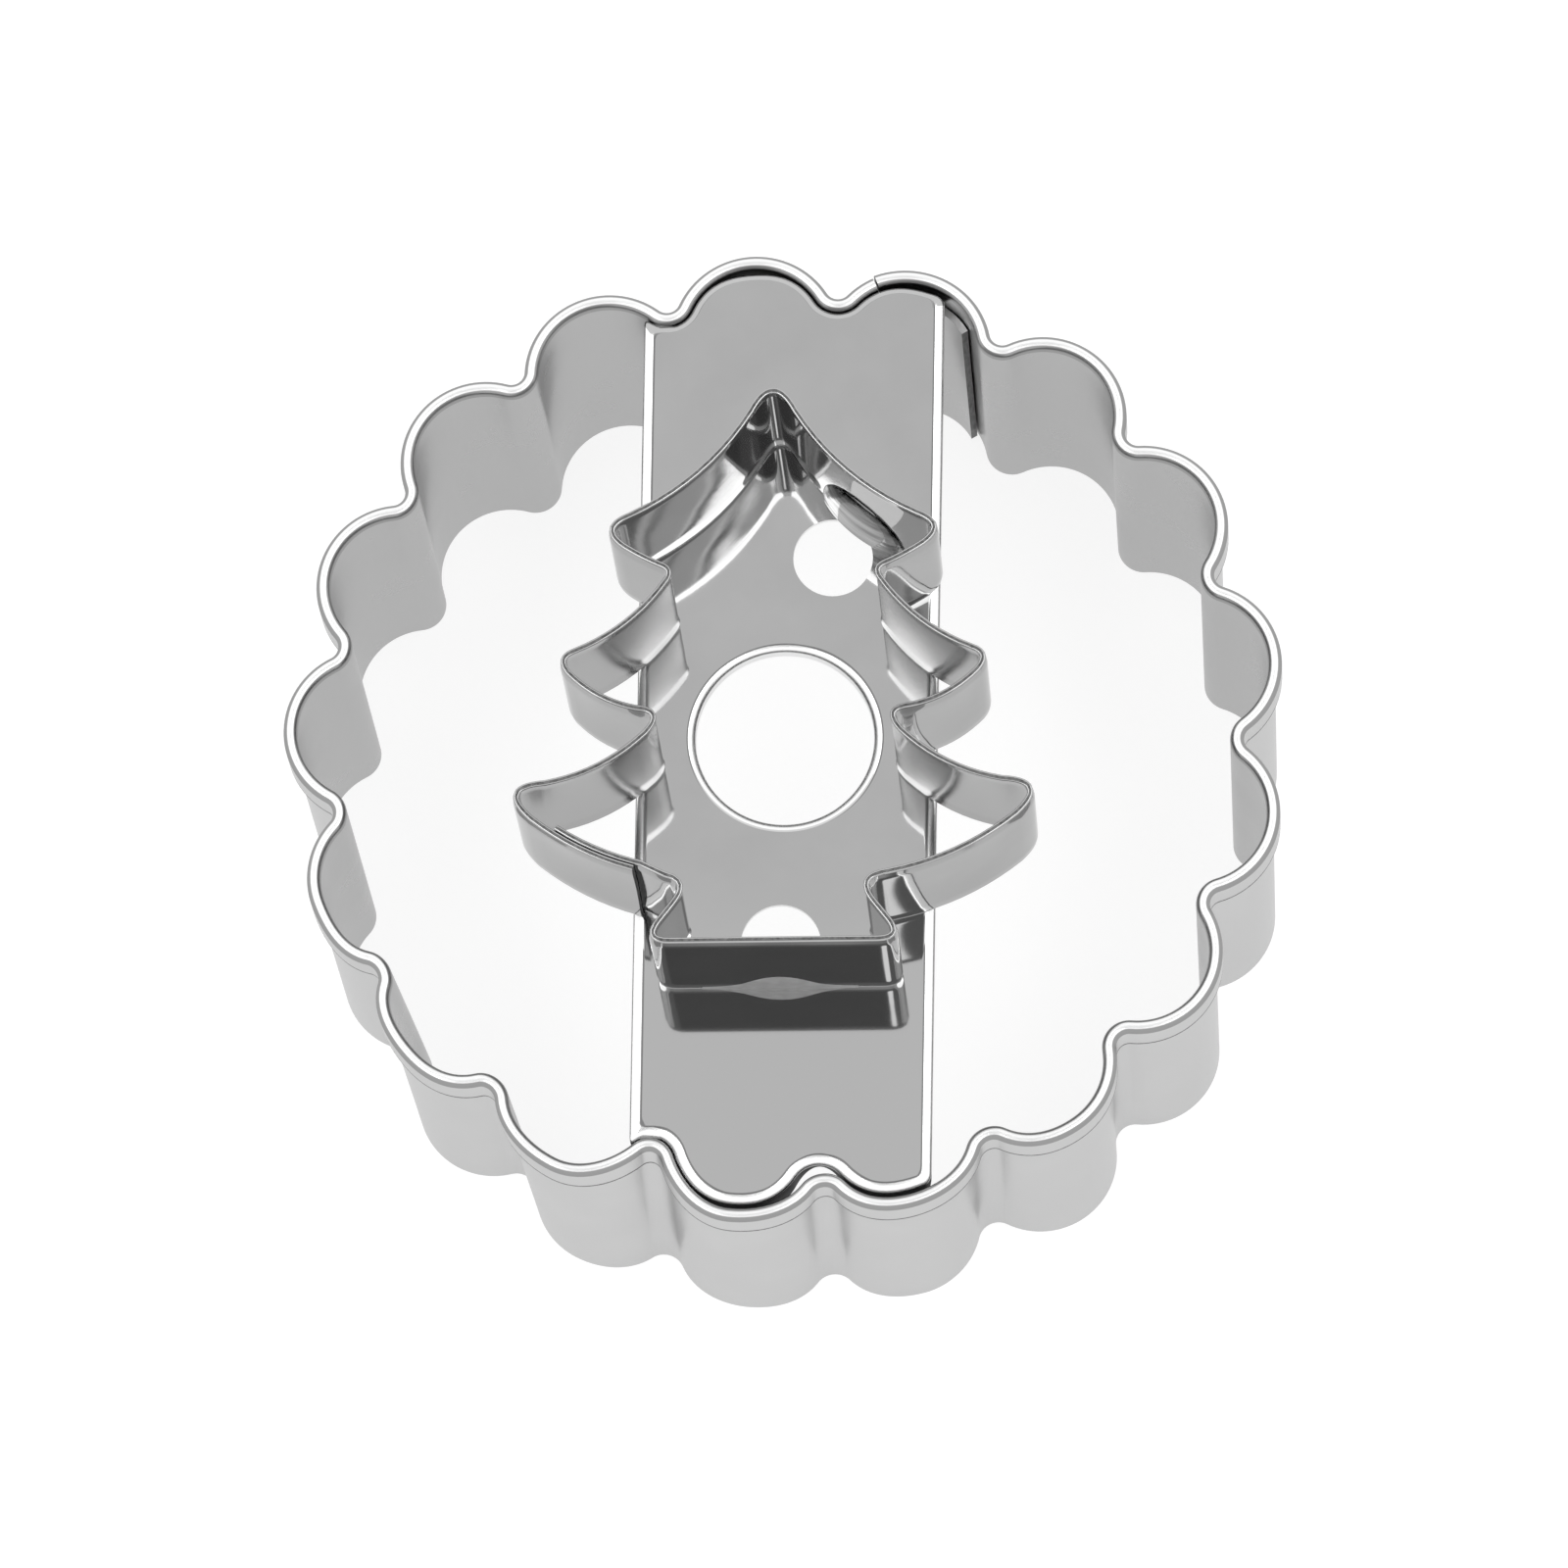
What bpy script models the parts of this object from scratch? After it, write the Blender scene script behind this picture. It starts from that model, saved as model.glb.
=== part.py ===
"""Linzer cookie cutter.

A strip of steel with a folded hem is bent into a scalloped ring, a drawn bridge plate is let into its
rim, and a second strip, bent to a fir tree's outline, stands on the bridge. The origin is the middle of
the ring on the plane of its cutting edge, +Z runs up to the rim, and the bridge lies along Y.
Sizes are in metres and angles in degrees.
"""
import math

import bmesh
import bpy
from mathutils import Matrix, Vector

# Ring
RING_DIAMETER = 0.0490
RING_HEIGHT = 0.0200
RING_SHEET = 0.00027
LOBE_COUNT = 17
LOBE_RADIUS = 0.0038
CUSP_RADIUS = 0.00108
FIRST_CUSP_ANGLE = 105.7
HEM_HEIGHT = 0.0021
RING_SEAM_ANGLE = 79.5
RING_SEAM_NOTCH = 0.0004
RING_SEAM_OVERLAP = 0.0055
SEAM_CLEARANCE = 0.0001

# Bridge plate
BRIDGE_WIDTH = 0.0146
BRIDGE_SHEET = 0.0003
BRIDGE_CLEARANCE = 0.0003
END_FOLD_RADIUS = 0.0005
END_FLANGE_DEPTH = 0.0017
SIDE_FOLD_RADIUS = 0.0005
SIDE_LIP_DEPTH = 0.0008
CORNER_SOFTNESS = 0.0004
FINGER_HOLE_DIAMETER = 0.0087
FINGER_HOLE_FOLD_RADIUS = 0.0003
FINGER_HOLE_LIP_DEPTH = 0.0009
PIERCED_HOLE_DIAMETER = 0.0039
PIERCED_HOLE_CENTRES = ((0.0022, 0.0091), (0.0, -0.0104))

# Tree strip
TREE_HEIGHT = 0.0087
TREE_SHEET = 0.00028
TREE_TURN = 1.06
TREE_SHIFT = (-0.0002, 0.0001)
TREE_SEAM_FROM_NECK = 0.0024
TREE_SEAM_OVERLAP = 0.0033
TREE_SEAM_EASE = 0.0013
TREE_SEAM_LEAD = 0.0003

# The right half of the tree's centre line from the apex to the trunk's foot. Each corner has its place
# across and along the bridge, the distance over which it is rounded each way, and how far the side that
# follows bows out to the left of its direction.
TREE_CORNERS = (
    (0.0, 0.01592, 0.0022, -0.00126),
    (0.00843, 0.00807, 0.0015, 0.00018),
    (0.00481, 0.00594, 0.0006, -0.00068),
    (0.01048, 0.00158, 0.00095, 0.00076),
    (0.00513, -0.00109, 0.0014, -0.00113),
    (0.01331, -0.00482, 0.0022, 0.00103),
    (0.00383, -0.00943, 0.0016, 0.0),
    (0.00626, -0.01253, 0.0013, 0.0),
)

# Solder bead along the trunk's foot
BEAD_LENGTH = 0.0054
BEAD_HEIGHT = 0.0007
BEAD_DEPTH = 0.00045
BEAD_CLEARANCE = 0.0001

# Facets
LOBE_FACETS = 10
CUSP_FACETS = 4
FOLD_FACETS = 3
FILLET_FACETS = 2
CORNER_FACETS = 5
SIDE_FACETS = 5
FINGER_HOLE_FACETS = 36
PIERCED_HOLE_FACETS = 20
BEAD_RINGS = 12
BEAD_FACETS = 5
SHARP_ANGLE = 40.0
BISECTIONS = 40

# The ring's centre line lies between the wall and its hem, so the hem adds one sheet to the radius.
LOBE_CENTRE_RADIUS = RING_DIAMETER / 2 - RING_SHEET - LOBE_RADIUS
HALF_PITCH = math.pi / LOBE_COUNT
CUSP_CENTRE_RADIUS = LOBE_CENTRE_RADIUS * math.cos(HALF_PITCH) + math.sqrt(
    (LOBE_RADIUS + CUSP_RADIUS) ** 2 - (LOBE_CENTRE_RADIUS * math.sin(HALF_PITCH)) ** 2
)
HALF_LOBE_TURN = math.atan2(
    CUSP_CENTRE_RADIUS * math.sin(HALF_PITCH),
    CUSP_CENTRE_RADIUS * math.cos(HALF_PITCH) - LOBE_CENTRE_RADIUS,
)
HALF_CUSP_TURN = HALF_LOBE_TURN - HALF_PITCH
LOBE_LENGTH = 2 * HALF_LOBE_TURN * LOBE_RADIUS
HALF_CUSP_LENGTH = HALF_CUSP_TURN * CUSP_RADIUS
PITCH_LENGTH = LOBE_LENGTH + 2 * HALF_CUSP_LENGTH
HEM_FOOT = RING_HEIGHT - HEM_HEIGHT


def clear_scene():
    for item in list(bpy.data.objects):
        bpy.data.objects.remove(item, do_unlink=True)


def metal(name, colour, roughness):
    """Plain bare metal."""
    material = bpy.data.materials.new(name)
    material.use_nodes = True
    shader = material.node_tree.nodes["Principled BSDF"]
    shader.inputs["Base Color"].default_value = (*colour, 1.0)
    shader.inputs["Roughness"].default_value = roughness
    shader.inputs["Metallic"].default_value = 1.0
    return material


def add_object(name, mesh_data, material, collection):
    """Close the mesh's normals, shade its bends smooth and make it an object."""
    bmesh.ops.recalc_face_normals(mesh_data, faces=mesh_data.faces)
    mesh = bpy.data.meshes.new(name)
    mesh_data.to_mesh(mesh)
    mesh_data.free()
    mesh.shade_smooth()
    mesh.set_sharp_from_angle(angle=math.radians(SHARP_ANGLE))
    mesh.materials.append(material)
    item = bpy.data.objects.new(name, mesh)
    collection.objects.link(item)
    return item


def add_thickness(item, thickness, offset):
    shell = item.modifiers.new("Sheet", "SOLIDIFY")
    shell.thickness = thickness
    shell.offset = offset
    shell.use_even_offset = True


def add_row(mesh_data, points):
    return [mesh_data.verts.new(point) for point in points]


def skin(mesh_data, row, next_row, closed):
    """Quads between two rows of as many points."""
    count = len(row)
    last = count if closed else count - 1
    for index in range(last):
        after = (index + 1) % count
        mesh_data.faces.new((row[index], row[after], next_row[after], next_row[index]))


def direction(angle):
    return Vector((math.cos(angle), math.sin(angle)))


def scallop(distance, outward):
    """A point on the scalloped line, so far along it clockwise from the first cusp, moved outward."""
    pitch = math.floor(distance / PITCH_LENGTH)
    along = distance - pitch * PITCH_LENGTH
    cusp_angle = math.radians(FIRST_CUSP_ANGLE) - 2 * HALF_PITCH * pitch
    if along > HALF_CUSP_LENGTH + LOBE_LENGTH:
        cusp_angle -= 2 * HALF_PITCH
        along -= PITCH_LENGTH
    if along < HALF_CUSP_LENGTH:
        facing = cusp_angle + along / CUSP_RADIUS
        return CUSP_CENTRE_RADIUS * direction(cusp_angle) - (CUSP_RADIUS - outward) * direction(facing)
    lobe_angle = cusp_angle - HALF_PITCH
    facing = lobe_angle + HALF_LOBE_TURN - (along - HALF_CUSP_LENGTH) / LOBE_RADIUS
    return LOBE_CENTRE_RADIUS * direction(lobe_angle) + (LOBE_RADIUS + outward) * direction(facing)


def scallop_stops(start, end):
    """Distances along the scalloped line between two limits, where its facets meet."""
    stops = []
    for pitch in range(math.floor(start / PITCH_LENGTH) - 1, math.ceil(end / PITCH_LENGTH) + 1):
        lobe_start = pitch * PITCH_LENGTH + HALF_CUSP_LENGTH
        stops += [lobe_start + LOBE_LENGTH * step / LOBE_FACETS for step in range(LOBE_FACETS)]
        cusp_start = lobe_start + LOBE_LENGTH
        stops += [cusp_start + 2 * HALF_CUSP_LENGTH * step / CUSP_FACETS for step in range(CUSP_FACETS)]
    half_facet = HALF_CUSP_LENGTH / CUSP_FACETS
    return [stop for stop in stops if start + half_facet < stop < end - half_facet]


def ring_section():
    """The wall and its hem as places outward and up, from the cutting edge inside round to outside."""
    fold = []
    for step in range(2 * FOLD_FACETS - 1):
        turn = math.pi * (1 - step / (2 * FOLD_FACETS - 2))
        fold.append((RING_SHEET * math.cos(turn), RING_HEIGHT - RING_SHEET * (1 - math.sin(turn))))
    inside = [(-RING_SHEET, 0.0), (-RING_SHEET, HEM_FOOT)]
    outside = [(RING_SHEET, HEM_FOOT), (0.0, HEM_FOOT), (0.0, 0.0)]
    return inside + fold + outside


def section_at(distance, section, inward=0.0):
    points = []
    for outward, height in section:
        place = scallop(distance, outward - inward)
        points.append((place.x, place.y, height))
    return points


def make_ring(collection, material):
    """The hemmed strip once round, and past its hem's end a plain tongue inside the first layer."""
    section = ring_section()
    start = math.radians(FIRST_CUSP_ANGLE - RING_SEAM_ANGLE) / (2 * HALF_PITCH) * PITCH_LENGTH
    round_trip = LOBE_COUNT * PITCH_LENGTH
    hem_end = start + round_trip - RING_SEAM_NOTCH
    mesh_data = bmesh.new()
    row = add_row(mesh_data, section_at(start, section))
    mesh_data.faces.new(row)
    for distance in scallop_stops(start, hem_end) + [hem_end]:
        next_row = add_row(mesh_data, section_at(distance, section))
        skin(mesh_data, row, next_row, closed=True)
        row = next_row
    mesh_data.faces.new(row[1:-1])

    wall_corners = (0, 1, len(section) - 2, len(section) - 1)
    wall = [section[corner] for corner in wall_corners]
    row = [row[corner] for corner in wall_corners]
    step_in = RING_SHEET + SEAM_CLEARANCE
    tongue_start = start + round_trip
    tongue_end = tongue_start + RING_SEAM_OVERLAP
    for distance in [tongue_start] + scallop_stops(tongue_start, tongue_end) + [tongue_end]:
        next_row = add_row(mesh_data, section_at(distance, wall, inward=step_in))
        skin(mesh_data, row, next_row, closed=True)
        row = next_row
    mesh_data.faces.new(row)
    return add_object("outer_ring", mesh_data, material, collection)


def scallop_at_width(across, outward, end_middle, side):
    """The distance along the scalloped line at which it is so far across, on one side of its middle."""
    near, far = 0.0, LOBE_COUNT * PITCH_LENGTH / 4
    for _ in range(BISECTIONS):
        middle = (near + far) / 2
        if abs(scallop(end_middle + side * middle, outward).x) < across:
            near = middle
        else:
            far = middle
    return end_middle + side * near


def soft_corner(start, corner, end, facets):
    """Points on a curve that leaves one side and joins the next, without its first point."""
    points = []
    for step in range(1, facets + 1):
        part = step / facets
        points.append((1 - part) ** 2 * start + 2 * part * (1 - part) * corner + part ** 2 * end)
    return points


def bridge_end(end_angle, end_inset, side_inset, stops):
    """One end of the bridge's outline, clockwise, with the rounded corners to the straight sides.

    Beside each point is how far it belongs to the end and not to a side, from 0 to 1.
    """
    outward = -RING_SHEET - BRIDGE_CLEARANCE - end_inset
    half_width = BRIDGE_WIDTH / 2 - side_inset
    end_middle = (math.radians(FIRST_CUSP_ANGLE) - end_angle) / (2 * HALF_PITCH) * PITCH_LENGTH
    toward_middle = Vector((0.0, -math.sin(end_angle))) * CORNER_SOFTNESS
    first = scallop_at_width(half_width, outward, end_middle, -1)
    last = scallop_at_width(half_width, outward, end_middle, 1)
    first_corner = scallop(first, outward)
    last_corner = scallop(last, outward)
    entry = scallop(first + CORNER_SOFTNESS, outward)
    leave = scallop(last - CORNER_SOFTNESS, outward)
    points = [first_corner + toward_middle]
    points += soft_corner(first_corner + toward_middle, first_corner, entry, FILLET_FACETS)
    points += [scallop(stop, outward) for stop in stops]
    points += [leave]
    points += soft_corner(leave, last_corner, last_corner + toward_middle, FILLET_FACETS)
    rising = [step / FILLET_FACETS for step in range(FILLET_FACETS + 1)]
    weights = rising + [1.0] * len(stops) + rising[::-1]
    return points, weights


def bridge_end_stops(end_angle):
    """Facet places along one end that every row of the bridge shares."""
    end_middle = (math.radians(FIRST_CUSP_ANGLE) - end_angle) / (2 * HALF_PITCH) * PITCH_LENGTH
    outward = -RING_SHEET - BRIDGE_CLEARANCE - END_FOLD_RADIUS
    half_width = BRIDGE_WIDTH / 2 - SIDE_FOLD_RADIUS
    first = scallop_at_width(half_width, outward, end_middle, -1)
    last = scallop_at_width(half_width, outward, end_middle, 1)
    return scallop_stops(first + CORNER_SOFTNESS, last - CORNER_SOFTNESS)


def bridge_row(end_inset, end_drop, side_inset, side_drop):
    """The bridge's outline at one stage of its fold, ends and sides each at their own inset and drop."""
    row = []
    for end_angle in (math.pi / 2, -math.pi / 2):
        points, weights = bridge_end(end_angle, end_inset, side_inset, bridge_end_stops(end_angle))
        for place, weight in zip(points, weights):
            drop = weight * end_drop + (1 - weight) * side_drop
            row.append((place.x, place.y, -drop))
    return row


def fold_stages():
    """From the upright edge to the flat, how far a fold of unit radius has come in and is still down."""
    turns = [math.pi / 2 * step / FOLD_FACETS for step in range(FOLD_FACETS + 1)]
    return [(1 - math.cos(turn), 1 - math.sin(turn)) for turn in turns]


def circle_row(centre, radius, height, facets):
    points = []
    for step in range(facets):
        place = Vector(centre) + radius * direction(2 * math.pi * step / facets)
        points.append((place.x, place.y, height))
    return points


def loop_edges(mesh_data, row):
    edges = []
    for index, corner in enumerate(row):
        after = row[(index + 1) % len(row)]
        edges.append(mesh_data.edges.get((corner, after)) or mesh_data.edges.new((corner, after)))
    return edges


def make_bridge(collection, material):
    """A drawn plate: flanges down inside the ring's wall, rolled sides and a rolled finger hole."""
    mesh_data = bmesh.new()
    row = add_row(mesh_data, bridge_row(0.0, END_FLANGE_DEPTH, 0.0, SIDE_LIP_DEPTH))
    for inset, drop in fold_stages():
        stage = bridge_row(
            inset * END_FOLD_RADIUS, drop * END_FOLD_RADIUS, inset * SIDE_FOLD_RADIUS, drop * SIDE_FOLD_RADIUS
        )
        next_row = add_row(mesh_data, stage)
        skin(mesh_data, row, next_row, closed=True)
        row = next_row
    rims = loop_edges(mesh_data, row)

    hole_radius = FINGER_HOLE_DIAMETER / 2
    lip_foot = circle_row((0.0, 0.0), hole_radius, -FINGER_HOLE_LIP_DEPTH, FINGER_HOLE_FACETS)
    row = add_row(mesh_data, lip_foot)
    for inset, drop in fold_stages():
        radius = hole_radius + inset * FINGER_HOLE_FOLD_RADIUS
        stage = circle_row((0.0, 0.0), radius, -drop * FINGER_HOLE_FOLD_RADIUS, FINGER_HOLE_FACETS)
        next_row = add_row(mesh_data, stage)
        skin(mesh_data, row, next_row, closed=True)
        row = next_row
    rims += loop_edges(mesh_data, row)

    for centre in PIERCED_HOLE_CENTRES:
        pierced = circle_row(centre, PIERCED_HOLE_DIAMETER / 2, 0.0, PIERCED_HOLE_FACETS)
        rims += loop_edges(mesh_data, add_row(mesh_data, pierced))
    bmesh.ops.triangle_fill(mesh_data, use_beauty=True, edges=rims, normal=(0.0, 0.0, 1.0))

    bridge = add_object("bridge_plate", mesh_data, material, collection)
    bridge.location.z = RING_HEIGHT
    flat = bridge.data.polygons[-1]
    if flat.normal.z < 0:
        bridge.data.flip_normals()
    add_thickness(bridge, BRIDGE_SHEET, -1.0)
    return bridge


def bowed_side(start, end, bow, part):
    """A point on the side between two corners, part of the way along it."""
    run = end - start
    left = Vector((-run.y, run.x)).normalized()
    return start + run * part + left * (4 * bow * part * (1 - part))


def tree_loop():
    """The whole tree's centre line, clockwise from the apex."""
    right = list(TREE_CORNERS)
    left = [(-across, along, soft, 0.0) for across, along, soft, _ in reversed(right[1:])]
    corners = [(Vector(corner[:2]), corner[2]) for corner in right + left]
    bows = [corner[3] for corner in right] + [corner[3] for corner in reversed(right[:-1])]
    points = []
    for index, (corner, soft) in enumerate(corners):
        before, _ = corners[index - 1]
        after, soft_after = corners[(index + 1) % len(corners)]
        length_before = (corner - before).length
        length_after = (after - corner).length
        entry = bowed_side(before, corner, bows[index - 1], 1 - soft / length_before)
        leave = bowed_side(corner, after, bows[index], soft / length_after)
        points.append(entry)
        points += soft_corner(entry, corner, leave, CORNER_FACETS)
        if bows[index]:
            first = soft / length_after
            last = 1 - soft_after / length_after
            for step in range(1, SIDE_FACETS):
                part = first + (last - first) * step / SIDE_FACETS
                points.append(bowed_side(corner, after, bows[index], part))
    return points


def strip_along(loop, start, end):
    """Points along the closed loop, from start to past one round, stepping inward for the last layer."""
    count = len(loop)
    lengths = [(loop[(index + 1) % count] - loop[index]).length for index in range(count)]
    round_trip = sum(lengths)
    step_in = TREE_SHEET + SEAM_CLEARANCE
    step_done = start + round_trip - TREE_SEAM_LEAD
    marks = [start, step_done - TREE_SEAM_EASE, step_done, end]
    travelled = 0.0
    for index in range(2 * count):
        clear_of_marks = all(abs(travelled - mark) > TREE_SHEET for mark in marks)
        if clear_of_marks and start < travelled < end:
            marks.append(travelled)
        travelled += lengths[index % count]
    points = []
    for mark in sorted(marks):
        left_over = mark % round_trip
        index = 0
        while left_over > lengths[index]:
            left_over -= lengths[index]
            index += 1
        run = (loop[(index + 1) % count] - loop[index]).normalized()
        stepped = min(max((mark - step_done) / TREE_SEAM_EASE + 1, 0.0), 1.0)
        points.append(loop[index] + run * left_over + Vector((run.y, -run.x)) * step_in * stepped)
    return points


def tree_placement(height):
    shift = Matrix.Translation((*TREE_SHIFT, height))
    return shift @ Matrix.Rotation(math.radians(TREE_TURN), 4, "Z")


def make_tree(collection, material):
    """The tree's strip on edge, its two ends lapped under the lower left branch."""
    loop = tree_loop()
    neck = Vector((-TREE_CORNERS[-2][0], TREE_CORNERS[-2][1]))
    nearest = min(range(len(loop)), key=lambda index: (loop[index] - neck).length)
    past_neck = sum((loop[index + 1] - loop[index]).length for index in range(nearest))
    start = past_neck + TREE_SEAM_FROM_NECK
    round_trip = sum((loop[index] - loop[index - 1]).length for index in range(len(loop)))
    strip = strip_along(loop, start, start + round_trip + TREE_SEAM_OVERLAP)
    mesh_data = bmesh.new()
    foot = add_row(mesh_data, [(point.x, point.y, 0.0) for point in strip])
    edge = add_row(mesh_data, [(point.x, point.y, TREE_HEIGHT) for point in strip])
    skin(mesh_data, foot, edge, closed=False)
    tree = add_object("tree_cutter", mesh_data, material, collection)
    tree.matrix_world = tree_placement(RING_HEIGHT)
    add_thickness(tree, TREE_SHEET, 0.0)
    return tree


def make_bead(collection, material):
    """A lens-shaped bead of solder in the corner between the trunk's foot and the bridge."""
    mesh_data = bmesh.new()
    rows = []
    for ring in range(1, BEAD_RINGS):
        along = -math.cos(math.pi * ring / BEAD_RINGS)
        swell = math.sqrt(1 - along ** 2)
        points = [(along * BEAD_LENGTH / 2, 0.0, 0.0)]
        for step in range(BEAD_FACETS + 1):
            turn = math.pi / 2 * step / BEAD_FACETS
            depth = -BEAD_DEPTH * swell * math.cos(turn)
            points.append((along * BEAD_LENGTH / 2, depth, BEAD_HEIGHT * swell * math.sin(turn)))
        rows.append(add_row(mesh_data, points))
    for row, next_row in zip(rows, rows[1:]):
        skin(mesh_data, row, next_row, closed=True)
    mesh_data.faces.new(rows[0])
    mesh_data.faces.new(rows[-1])
    bead = add_object("foot_solder_bead", mesh_data, material, collection)
    wall_face = TREE_CORNERS[-1][1] - TREE_SHEET / 2 - BEAD_CLEARANCE
    bead.matrix_world = tree_placement(RING_HEIGHT) @ Matrix.Translation((0.0, wall_face, 0.0))
    return bead


def main():
    clear_scene()
    collection = bpy.data.collections.new("linzer_cookie_cutter")
    bpy.context.scene.collection.children.link(collection)
    ring_steel = metal("ring_steel", (0.72, 0.72, 0.73), 0.16)
    bridge_steel = metal("bridge_steel", (0.70, 0.70, 0.71), 0.10)
    tree_steel = metal("tree_steel", (0.74, 0.74, 0.75), 0.14)
    solder = metal("solder", (0.50, 0.50, 0.51), 0.35)
    make_ring(collection, ring_steel)
    make_bridge(collection, bridge_steel)
    make_tree(collection, tree_steel)
    make_bead(collection, solder)


main()
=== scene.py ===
import math

import bmesh
import bpy
from mathutils import Matrix, Vector


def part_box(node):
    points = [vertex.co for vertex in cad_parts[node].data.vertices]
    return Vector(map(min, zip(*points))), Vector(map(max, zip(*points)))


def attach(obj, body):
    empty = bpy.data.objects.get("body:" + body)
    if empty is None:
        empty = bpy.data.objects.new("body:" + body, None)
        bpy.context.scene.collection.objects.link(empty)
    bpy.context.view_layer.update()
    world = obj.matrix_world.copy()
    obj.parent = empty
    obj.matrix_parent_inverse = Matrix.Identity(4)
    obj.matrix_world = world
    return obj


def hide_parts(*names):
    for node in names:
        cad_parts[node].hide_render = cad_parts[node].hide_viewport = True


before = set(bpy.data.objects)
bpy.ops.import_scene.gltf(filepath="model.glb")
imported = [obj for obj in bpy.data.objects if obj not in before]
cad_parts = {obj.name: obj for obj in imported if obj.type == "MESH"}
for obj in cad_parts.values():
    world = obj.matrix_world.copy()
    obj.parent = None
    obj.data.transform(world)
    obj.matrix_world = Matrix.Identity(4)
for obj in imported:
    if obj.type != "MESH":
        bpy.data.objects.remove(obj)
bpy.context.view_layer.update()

# Everything is in metres and degrees, in the frame of the CAD model: the origin is the middle of the
# ring on the plane of its cutting edge, +Z runs up to the rim, and the bridge lies along Y.
RING_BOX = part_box("outer_ring")
BRIDGE_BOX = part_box("bridge_plate")
TREE_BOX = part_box("tree_cutter")

# Ring
RING_HEIGHT = RING_BOX[1].z
RING_RADIUS = 0.0245
RING_SHEET = 0.00034
CREST_RADIUS = RING_RADIUS - RING_SHEET
LOBE_COUNT = 17
LOBE_RADIUS = 0.0038
CUSP_RADIUS = 0.00098
RING_SHIFT = 0.0002
FIRST_CUSP_ANGLE = 105.7
HEM_HEIGHT = 0.0023
HEM_EDGE_ROUNDING = 0.00004
# Height up the hem's outer face from its foot of a dark band in the cut-edge finish: a painted shade line.
HEM_PAINTED_SHADE_LINE = 0.00022
RING_SEAM_ANGLE = 79.5
RING_SEAM_NOTCH = 0.0001
RING_SEAM_OVERLAP = 0.0055
SEAM_GAP = 0.00005
SEAM_LIFT = 0.00010
SEAM_LIFT_LENGTH = 0.0035
TONGUE_SPRING = 0.00004

# Cusps bent by hand: number, outward shift of the rim and of the foot, turn about the ring's axis.
BENT_CUSPS = (
    (8, 0.00035, 0.0, 0.35),
    (9, 0.00040, 0.00044, 0.65),
    (10, -0.00055, 0.00032, 0.0),
    (11, 0.00040, 0.0, -0.8),
    (12, 0.00072, 0.0, 0.0),
)

# Bridge plate, drawn a little wider than its solid and further right, as in the photograph
BRIDGE_SIDE_EASE = 0.00023
BRIDGE_WIDTH = BRIDGE_BOX[1].x - BRIDGE_BOX[0].x + BRIDGE_SIDE_EASE
BRIDGE_SHIFT = 0.00012
BRIDGE_SHEET = 0.0003
FLANK_CLEARANCE = 0.00003
FAR_CREST_CLEARANCE = 0.00022
NEAR_CREST_CLEARANCE = 0.00018
NEAR_FOLD_STRETCH = 1.5
END_FOLD_WIDTH = 0.00042
END_FOLD_DROP = 0.00042
END_FLANGE_DEPTH = 0.0023
FLANGE_NOTCH_MIDDLE = 0.0021
FLANGE_NOTCH_WIDTH = 0.0036
FLANGE_NOTCH_RISE = 0.0017
SIDE_FOLD_WIDTH = 0.00058
SIDE_FOLD_DROP = 0.00035
SIDE_LIP_DEPTH = 0.0007
BRIDGE_CORNER_SOFTNESS = 0.0004
FINGER_HOLE_RADIUS = 0.00435
FINGER_HOLE_FOLD_WIDTH = 0.0005
FINGER_HOLE_FOLD_DROP = 0.0003
FINGER_HOLE_LIP_DEPTH = 0.0009
PIERCED_HOLE_RADIUS = 0.00195
PIERCED_HOLE_CENTRES = ((0.0022, 0.0091), (0.0, -0.0104))

# Tree strip
TREE_HEIGHT = TREE_BOX[1].z - RING_HEIGHT
TREE_SHEET = 0.00028
TREE_EDGE_ROUNDING = 0.00008
TREE_CROSS_BOW = 0.12
TOP_SLOPE_CROSS_BOW = 0.036
TOP_LEFT_BOW_GAIN = 1.2
EDGE_CURL_SLOPE = 0.08
EDGE_CURL_START = 0.001
EDGE_CURL_FULL = 0.0006
TREE_TURN = 1.06
TREE_SHIFT = (-0.0002, 0.0001)
TREE_SEAM_FROM_NECK = 0.0024
TREE_SEAM_OVERLAP = 0.0043
TREE_SEAM_GAP = 0.00004
TREE_SEAM_EASE = 0.0013
TREE_SEAM_LEAD = 0.0003

# The tree's right half from its apex: across, along, rounding, and the bow of the side that follows
TREE_CORNERS = (
    (0.0, 0.01592, 0.0022, -0.00126),
    (0.00843, 0.00807, 0.0015, 0.00018),
    (0.00481, 0.00594, 0.0006, -0.00068),
    (0.01048, 0.00158, 0.00095, 0.00076),
    (0.00513, -0.00109, 0.0014, -0.00113),
    (0.01331, -0.00482, 0.0022, 0.00103),
    (0.00383, -0.00943, 0.0016, 0.0),
    (0.00626, -0.01253, 0.0013, 0.0),
)

# Solder: a thin smear on the trunk's front and a thick bead inside the top right slope's foot
SMEAR_LENGTH = 0.0076
SMEAR_HEIGHT = 0.0026
SMEAR_DEPTH = 0.00016
SMEAR_TAIL = 0.0003
SMEAR_TAIL_SHARE = 0.4
SMEAR_POINTEDNESS = 2.5
SLOPE_BEAD_SPAN = (0.35, 0.80)
SLOPE_BEAD_HEIGHT = 0.0044
SLOPE_BEAD_DEPTH = 0.0005
RUN_STEP = 0.01
SOLDER_SINK = 0.00005

# Finishes of the ring's and the strip's faces, in the order of their materials
OUTER_FACE, INNER_FACE, CUT_EDGE = range(3)

# Finishes of the bridge's faces, in the order of its materials
# The far folds take a darker copy of the bridge's steel as painted shade, and the end flanges a near-black
# painted shade.
PLAIN, FAR_FOLD, FLANGE_SHADE = range(3)

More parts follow.
